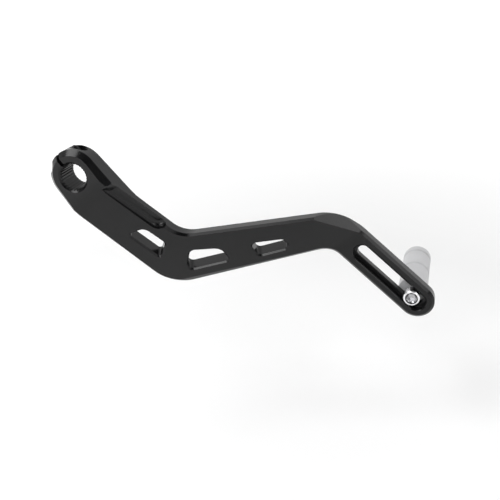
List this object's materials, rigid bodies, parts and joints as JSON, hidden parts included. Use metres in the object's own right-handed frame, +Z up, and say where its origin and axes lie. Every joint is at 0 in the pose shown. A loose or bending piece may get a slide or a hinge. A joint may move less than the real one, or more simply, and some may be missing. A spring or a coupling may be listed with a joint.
{
  "type": "motorcycle gear shift lever",
  "caption": "Folded billet toe lever: a splined split clamp grips the gearbox shaft, windows lighten the arm, and a round toe peg is clamped in an adjusting slot at the far end.",
  "frame": {"origin": "on the axis of the splined bore, halfway through the clamp", "axes": "+Y along the bore, outboard; +X from the clamp towards the toe peg; +Z up, with the lever at the angle it is worn at"},
  "size_m": [0.2215, 0.1154, 0.1074],
  "materials": {
    "black_anodised": "black anodised, satin",
    "black_oxide": "black oxide",
    "bright_steel": "bright zinc plated",
    "pale_grey": "pale grey, satin"
  },
  "bodies": {
    "arm": {"shift_arm": "black_anodised", "pinch_bolt": "black_oxide"},
    "peg": {"toe_peg": "pale_grey", "peg_screw": "bright_steel"}
  },
  "joints": [
    {"name": "peg_slide", "type": "slide", "parent": "arm", "child": "peg", "axis": [0.7793, 0, -0.6266], "range_m": [-0.0409, 0.0042]}
  ]
}
